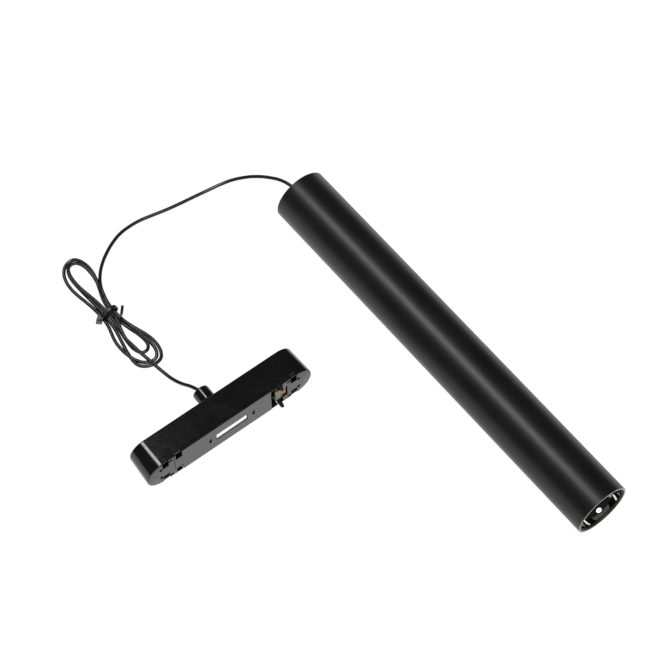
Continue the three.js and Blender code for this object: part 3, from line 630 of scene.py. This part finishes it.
def make_cup():
    """A polished bowl, nearly a quarter circle in section, on a neck down to the lens."""
    low, high = node_box("glare_cup")
    outer = (high.z - low.z) / 2
    steps = 24
    last = math.acos(1 - (CUP_MOUTH - CUP_THROAT) / BOWL)
    inner = []
    for i in range(steps + 1):
        a = last * i / steps
        inner.append((high.x - CUP_RIM - BOWL * math.sin(a), CUP_MOUTH - BOWL * (1 - math.cos(a))))
    neck = inner[-1][0]
    behind_flange = inner[3:]
    back = [(x - 0.5 * CUP_WALL, r + CUP_WALL) for x, r in reversed(behind_flange)]
    outline = [
        (high.x, CUP_MOUTH), *inner, (low.x, CUP_THROAT), (low.x, CUP_FOOT), (low.x + 1, CUP_FOOT),
        (low.x + 1, CUP_THROAT + 1), (neck - 1, CUP_THROAT + 1), *back,
        (high.x - CUP_FLANGE, outer), (high.x, outer),
    ]
    cup = turned("cup_shell", outline, axis_of("glare_cup"), 128)
    finish_mesh(cup, MIRROR, BODY, "dark_mirror", "glare_cup")


def make_front_ring():
    low, high = node_box("front_ring")
    outer = (high.z - low.z) / 2
    outline = rounded([
        (low.x, CUP_MOUTH - 0.2), (low.x, outer), (high.x, outer), (high.x, CUP_MOUTH),
    ], 0.3)
    ring = turned("ring_trim", outline, axis_of("front_ring"), 128)
    finish_mesh(ring, INSIDE, BODY, "coated_metal", "front_ring")


def make_lens():
    """A dome on a round plate."""
    low, high = node_box("lens")
    plate_top = low.x + 1.4
    plate_radius = 9.9
    dome_radius = 5.9
    steps = 12
    dome = []
    for i in range(steps):
        a = math.pi / 2 * i / steps
        x = plate_top + (high.x - plate_top) * math.sin(a)
        dome.append((x, dome_radius * math.cos(a)))
    outline = [(low.x, 0), (low.x, plate_radius), (plate_top, plate_radius), *dome, (high.x, 0)]
    lens = turned("lens_dome", outline, axis_of("lens"), 64)
    finish_mesh(lens, CLEAR, BODY, "clear", "lens")


def make_bush():
    """A tapered nose, a flange on the cap's face and a stem through the cap."""
    low, high = node_box("cord_bush")
    flange = (high.z - low.z) / 2
    bore, nose, stem = CORD / 2 + 0.15, 2.2, 4
    face = node_box("rear_cap")[0].x
    outline = rounded([
        (low.x, bore, 0.1), (low.x, nose, 0.5), (face - 2.2, 3.7, 0.8), (face - 1.6, flange, 0.7),
        (face - 0.3, flange, 0.15), (face - 0.3, stem, 0.1), (high.x, stem, 0.2),
        (high.x, bore, 0.1),
    ], 0.3)
    bush = turned("bush_body", outline, axis_of("cord_bush"), 64)
    finish_mesh(bush, MATTE, BODY, "black_plastic", "cord_bush")
    return bush


# ---------------------------------------------------------------- adapter

# The adapter's own axes: a along it, v across it (up), h from the gland face to the contact face.
ADAPTER_TURN = math.radians(88.3)
ALONG = Vector((math.cos(ADAPTER_TURN), math.sin(ADAPTER_TURN), 0))
OUT = Vector((math.sin(ADAPTER_TURN), -math.cos(ADAPTER_TURN), 0))
ADAPTER_MIDDLE = Vector((-65.22, -47.8, 13.1))
LENGTH, WIDTH, FACE = 129.2, 24.4, 21.8
HALF_WIDTH = WIDTH / 2
DRAFT = 1                       # the case is this much slimmer all round at the gland face
EDGE = 0.8                      # radius of the case's rounded edges
GAP = 0.3                       # play between neighbouring pieces
LAP = 0.01                      # how far neighbouring cutters run into each other
WALL = 1.5
FOOT_WALL = WALL + DRAFT
THIN_WALL = HALF_WIDTH - 1      # |v| of the inner face of the thin wall beside a pocket
DECK = FACE - 2.2               # the case below the cover
FLOOR = 2
LOWER_ROOM = 12                 # top of the room in the case's foot
POCKET_FLOOR = FACE - 4.2
NOTCH_LIP = 1.2                 # the upper inner notch's thin wall ends this far below the face
# Places along the adapter. The catches' pockets and the slits are at both ends, measured from the
# middle.
COVER = (-43.4, 32.2)
UPPER_ROOM = (-36.2, 31)
BAY = (30, 45.2)
INNER_NOTCH = (-42.6, -37.6)
PIN_POCKET = (32.5, 41.7)
PIN_GAP = (37.5, 40.5)          # where a pin leans out through the side wall
PIN_BOSS = (31.6, 43.6)
CATCH_POCKET = (48, 52.8)
CATCH_SLIT = (45, 48.2)
SMALL_SLIT = (53.2, 55.2)
CASE_SCREWS = (-31, 26)
SCREW_SINK = 2.5                # radius of the sink for a case screw's head
GLAND_PLACE = -0.2
GLAND_HOLE = 5.3
BAY_HALF = 6                    # half the contact bay's width
# Contact pins: a pin's axis starts at its foot, at (a, |v|, h), and leans outwards.
PIN_LEAN = math.radians(13)
PIN_FOOT = (39, 8.2, 9.6)
PIN_BOSS_FOOT = PIN_FOOT[2] - 0.4
PIN_BORE = 1.65
MAGNET = (-11, 13)
MAGNET_HALF = 2.8               # half its width
MAGNET_HEIGHT = 3.3


def adapter_matrix():
    turn = Matrix((ALONG, (0, 0, 1), OUT)).transposed().to_4x4()
    return Matrix.Translation(ADAPTER_MIDDLE * MM) @ turn


def pin_matrix(side):
    """From a pin's own axes, with Z along it, to the adapter's."""
    a, v, h = PIN_FOOT
    return Matrix.Translation(mm(a, side * v, h)) @ Matrix.Rotation(-side * PIN_LEAN, 4, "X")


def stadium_loop(bm, radius, h, steps=28):
    spine = (LENGTH - WIDTH) / 2
    loop = []
    for end in (1, -1):
        for k in range(steps + 1):
            t = math.pi * k / steps - math.pi / 2
            a = end * (spine + radius * math.cos(t))
            v = end * radius * math.sin(t)
            loop.append(bm.verts.new(mm(a, v, h)))
    return loop


def case_levels():
    """(radius, h) of the outlines that the case's shell is lofted through."""
    steps = 5
    levels = []
    for k in range(steps + 1):
        t = math.pi / 2 * k / steps
        levels.append((HALF_WIDTH - DRAFT - EDGE * (1 - math.sin(t)), EDGE * (1 - math.cos(t))))
    for k in range(steps + 1):
        t = math.pi / 2 * k / steps
        levels.append((HALF_WIDTH - EDGE * (1 - math.cos(t)), FACE - EDGE * (1 - math.sin(t))))
    return levels


def cutter(a, v, h):
    """A box from the first to the last a, v and h, for cutting."""
    low, high = zip(a, v, h)
    return from_bmesh("cutter", box_bmesh(low, high))


def round_cutter(matrix, radius, start, end, segments=40):
    """A cylinder along Z of matrix, for cutting."""
    bm = bmesh.new()
    bmesh.ops.create_cone(bm, cap_ends=True, segments=segments, radius1=radius * MM,
                          radius2=radius * MM, depth=(end - start) * MM)
    bm.transform(matrix @ Matrix.Translation(mm(0, 0, (start + end) / 2)))
    return from_bmesh("cutter", bm)


def upright_cutter(a, radius, start, end):
    """A cylinder along h on the adapter's middle line, for cutting."""
    return round_cutter(Matrix.Translation(mm(a, 0, 0)), radius, start, end)


def both_sides(a, v, h):
    return [cutter(a, v, h), cutter(a, (-v[1], -v[0]), h)]


def four_corners(a, v, h):
    return both_sides(a, v, h) + both_sides((-a[1], -a[0]), v, h)


def room_cutter():
    """The room in the case's foot, less the pins' bosses and the posts for the case's screws."""
    bm = bmesh.new()
    loops = [stadium_loop(bm, HALF_WIDTH - FOOT_WALL, h) for h in (FLOOR, LOWER_ROOM)]
    join_loops(bm, loops)
    room = from_bmesh("cutter_room", bm)
    kept = both_sides(PIN_BOSS, (BAY_HALF, THIN_WALL), (PIN_BOSS_FOOT, LOWER_ROOM + 1))
    kept += [upright_cutter(a, 3, FLOOR - 1, 6) for a in CASE_SCREWS]
    subtract(room, kept)
    return room


def cover_seat_cutters(above, beyond):
    """The cover's seat, which leaves the thin wall beside each inner notch.

    On the lower side that wall reaches the contact face, and on the upper side it ends below it."""
    start, end = INNER_NOTCH[0] + GAP, INNER_NOTCH[1] - GAP
    beside = (start - LAP, end + LAP)
    return [
        cutter((COVER[0] - GAP, start), (-beyond, beyond), (DECK, above)),
        cutter(beside, (-THIN_WALL, THIN_WALL), (DECK, above)),
        cutter(beside, (0, beyond), (FACE - NOTCH_LIP, above)),
        cutter((end, COVER[1] + GAP), (-beyond, beyond), (DECK, above)),
    ]


def case_cutters():
    above = FACE + 1
    beyond = HALF_WIDTH + 1
    tools = [
        room_cutter(),
        *cover_seat_cutters(above, beyond),
        cutter(UPPER_ROOM, (WALL - HALF_WIDTH, HALF_WIDTH - WALL), (LOWER_ROOM - 1, above)),
        cutter(BAY, (-BAY_HALF, BAY_HALF), (6, above)),
        cutter(PIN_POCKET, (-THIN_WALL, THIN_WALL), (POCKET_FLOOR, above)),
        upright_cutter(GLAND_PLACE, GLAND_HOLE, -1, FLOOR + 1),
        *[upright_cutter(a, SCREW_SINK, -1, 1.8) for a in CASE_SCREWS],
    ]
    tools += both_sides(PIN_GAP, (9.4, beyond), (POCKET_FLOOR, above))
    tools += both_sides(INNER_NOTCH, (6, THIN_WALL), (POCKET_FLOOR, above))
    tools += four_corners(CATCH_POCKET, (4.8, 11), (FACE - 7.6, above))
    tools += four_corners(CATCH_POCKET, (9, beyond), (FACE - 4, above))
    tools += four_corners(CATCH_SLIT, (8.4, 10.4), (POCKET_FLOOR, above))
    tools += four_corners(SMALL_SLIT, (3.6, 6.6), (FACE - 2.6, above))
    tools += [round_cutter(pin_matrix(side), PIN_BORE, -1, 14, 32) for side in (-1, 1)]
    return tools


def subtract(obj, tools):
    """Cuts the tools out of a piece and deletes them."""
    for tool in tools:
        modifier = obj.modifiers.new("cut", "BOOLEAN")
        modifier.object = tool
        modifier.operation = "DIFFERENCE"
        modifier.solver = "EXACT"
    applied(obj)
    for tool in tools:
        bpy.data.objects.remove(tool)


def make_case():
    bm = bmesh.new()
    join_loops(bm, [stadium_loop(bm, radius, h) for radius, h in case_levels()])
    case = from_bmesh("case_shell", bm)
    subtract(case, case_cutters())
    case.data.transform(adapter_matrix())
    case.data.update()
    finish_mesh(case, PLASTIC, BODY, "black_plastic", "adapter_case")


COIL = 1.18                      # radius of a spring's middle line
WIRE = 0.22                      # radius of its wire


def make_spring(node, matrix, span, turns):
    """A coil along Z of matrix, over span."""
    sides, steps = 8, 20
    bm = bmesh.new()
    loops = []
    for i in range(turns * steps + 1):
        turn = 2 * math.pi * i / steps
        rise = span[0] + WIRE + (span[1] - span[0] - 2 * WIRE) * i / (turns * steps)
        loop = []
        for k in range(sides):
            a = 2 * math.pi * k / sides
            r = COIL + WIRE * math.cos(a)
            place = mm(r * math.cos(turn), r * math.sin(turn), rise + WIRE * math.sin(a))
            loop.append(bm.verts.new(place))
        loops.append(loop)
    join_loops(bm, loops)
    spring = from_bmesh(f"coil_{node}", bm)
    spring.data.transform(matrix)
    finish_mesh(spring, STEEL, BODY, "steel", node)
    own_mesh(spring)


CATCH_OUTLINE = [                # across the adapter and from its contact face
    (8.4, -7.2), (10.7, -7.2), (10.7, -3.7), (12, -3.7), (13, -2.6), (13, -1.8),
    (11.8, -0.6), (10.4, -0.6), (9.4, -1.6), (8.4, -1.6),
]
CATCH_SPAN = (CATCH_POCKET[0] + GAP, CATCH_POCKET[1] - GAP)
CATCH_BEVEL = 0.2
CATCH_REACH = 2.4                # from the outline's middle to its edge, on the whole
CATCH_SPRING = (5.3, 8.3)        # |v| of its spring's two ends
CATCH_SPRING_H = FACE - 4.4


def make_catch(end, side):
    place = f"{'near' if end < 0 else 'far'}_{'lower' if side < 0 else 'upper'}"
    outline = rounded(CATCH_OUTLINE, 0.3, 4)
    middle = sum(outline, Vector((0, 0))) / len(outline)
    bm = bmesh.new()
    loops = []
    for a, inset in ((CATCH_SPAN[0], CATCH_BEVEL), (CATCH_SPAN[0] + CATCH_BEVEL, 0),
                     (CATCH_SPAN[1] - CATCH_BEVEL, 0), (CATCH_SPAN[1], CATCH_BEVEL)):
        share = 1 - inset / CATCH_REACH
        loop = [middle + (p - middle) * share for p in outline]
        loops.append([bm.verts.new(mm(end * a, side * p.x, FACE + p.y)) for p in loop])
    join_loops(bm, loops)
    catch = from_bmesh(f"catch_{place}_block", bm)
    catch.data.transform(adapter_matrix())
    finish_mesh(catch, MATTE, f"catch_{place}_body", "black_plastic", f"catch_{place}")
    centre = Matrix.Translation(mm(end * sum(CATCH_SPAN) / 2, 0, CATCH_SPRING_H))
    outward = Matrix.Rotation(-side * math.pi / 2, 4, "X")
    make_spring(f"catch_spring_{place}", adapter_matrix() @ centre @ outward, CATCH_SPRING, 3)


PIN_SPRING = (0.1, 5.3)          # its spring's two ends, along the pin's axis


def make_pin(side):
    """A pin as it stands on its axis: a tail in the spring, a collar, and a sleeve below the tip."""
    place = "lower" if side < 0 else "upper"
    outline = rounded([
        (2.8, 0, 0.01), (2.8, 0.6), (5.4, 0.6), (5.4, 1.4), (6.8, 1.4), (6.8, 1), (8.6, 1), (8.8, 1.4),
        (14.9, 1.4, 0.5), (15.2, 1), (16.1, 1, 0.7), (16.1, 0, 0.01),
    ], 0.12)
    pin = turned(f"pin_{place}", outline, Vector(), 32)
    upright = Matrix.Rotation(-math.pi / 2, 4, "Y")
    pin.data.transform(adapter_matrix() @ pin_matrix(side) @ upright)
    finish_mesh(pin, MATTE, f"contact_pin_{place}_body", "black_plastic", f"contact_pin_{place}")
    make_spring(f"pin_spring_{place}", adapter_matrix() @ pin_matrix(side), PIN_SPRING, 5)


def make_magnet():
    top = FACE - GAP
    bm = box_bmesh((MAGNET[0], -MAGNET_HALF, top - MAGNET_HEIGHT), (MAGNET[1], MAGNET_HALF, top))
    bmesh.ops.bevel(bm, geom=bm.edges[:], offset=0.25 * MM, segments=3, profile=0.5, affect="EDGES")
    magnet = from_bmesh("magnet_bar", bm)
    magnet.data.transform(adapter_matrix())
    finish_mesh(magnet, NICKEL, BODY, "nickel", "magnet")


def make_gland_nut():
    """A cap with a hole for the cord, open towards the case."""
    tip, shoulder, mouth = -11.8, -9.6, -2.7
    outer, inner, bore = 5.9, 4.6, CORD / 2 + 0.2
    outline = rounded([
        (tip, bore, 0.2), (tip, outer, 1.5), (mouth, outer, 0.3), (mouth, inner, 0.1),
        (shoulder, inner, 0.1), (shoulder, bore, 0.1),
    ], 0.3)
    nut = turned("gland_cap", outline, Vector(), 72)
    turn = Matrix((OUT, ALONG, (0, 0, 1))).transposed().to_4x4()
    nut.data.transform(Matrix.Translation((ADAPTER_MIDDLE + GLAND_PLACE * ALONG) * MM) @ turn)
    finish_mesh(nut, PLASTIC, "gland_nut_body", "black_plastic", "gland_nut")


# ---------------------------------------------------------------- floor and light

FLOOR_REACH = 12                # metres from the middle to each side


def make_floor():
    bm = bmesh.new()
    bmesh.ops.create_grid(bm, x_segments=8, y_segments=8, size=FLOOR_REACH)
    floor = from_bmesh("floor", bm)
    n = Nodes("floor")
    n.colors(n.noise(3, 2), (0.10, 0.10, 0.10), (0.11, 0.11, 0.11))
    n.set(Roughness=1.0, Specular_IOR_Level=0.0)
    n.set(Emission_Color=(1, 1, 1, 1), Emission_Strength=0.97)
    floor.data.materials.append(n.material)


def area_light(name, location, target, size, power, shape="RECTANGLE"):
    """A soft light at location that points at target, in metres and watts."""
    data = bpy.data.lights.new(name, "AREA")
    data.shape = shape
    data.size, data.size_y = size
    data.energy = power
    light = bpy.data.objects.new(name, data)
    light.location = location
    light.rotation_euler = (Vector(location) - Vector(target)).to_track_quat("Z", "Y").to_euler()
    bpy.context.scene.collection.objects.link(light)


def make_lights():
    """A strip softbox high up beyond the hank, and a round one above the camera."""
    area_light("strip", (-0.42, -0.11, 1.0), (-0.42, -0.11, 0), (0.95, 0.26), 7.4)
    area_light("round", (0.69, -0.23, 1.7), (0.15, 0.094, 0.02), (0.7, 0.7), 15, "DISK")


def make_world():
    """White where the camera sees it, and nearly dark where it would light the object."""
    world = bpy.data.worlds.new("world")
    world.use_nodes = True
    tree = world.node_tree
    seen = tree.nodes["Background"]
    seen.inputs["Color"].default_value = (1, 1, 1, 1)
    seen.inputs["Strength"].default_value = 1
    dim = tree.nodes.new("ShaderNodeBackground")
    dim.inputs["Color"].default_value = (1, 1, 1, 1)
    dim.inputs["Strength"].default_value = 0.04
    path = tree.nodes.new("ShaderNodeLightPath")
    mix = tree.nodes.new("ShaderNodeMixShader")
    tree.links.new(path.outputs["Is Camera Ray"], mix.inputs["Fac"])
    tree.links.new(dim.outputs["Background"], mix.inputs[1])
    tree.links.new(seen.outputs["Background"], mix.inputs[2])
    tree.links.new(mix.outputs["Shader"], tree.nodes["World Output"].inputs["Surface"])
    bpy.context.scene.world = world


# ---------------------------------------------------------------- the scene

make_camera()
dress_cad_nodes()
tie = make_tie()
bush = make_bush()
make_cord()
make_tube()
make_cup()
make_front_ring()
make_lens()
make_case()
make_gland_nut()
make_magnet()
for side in (-1, 1):
    make_pin(side)
    make_catch(-1, side)
    make_catch(1, side)

make_floor()
make_lights()
make_world()
bpy.context.scene.view_settings.view_transform = "Standard"
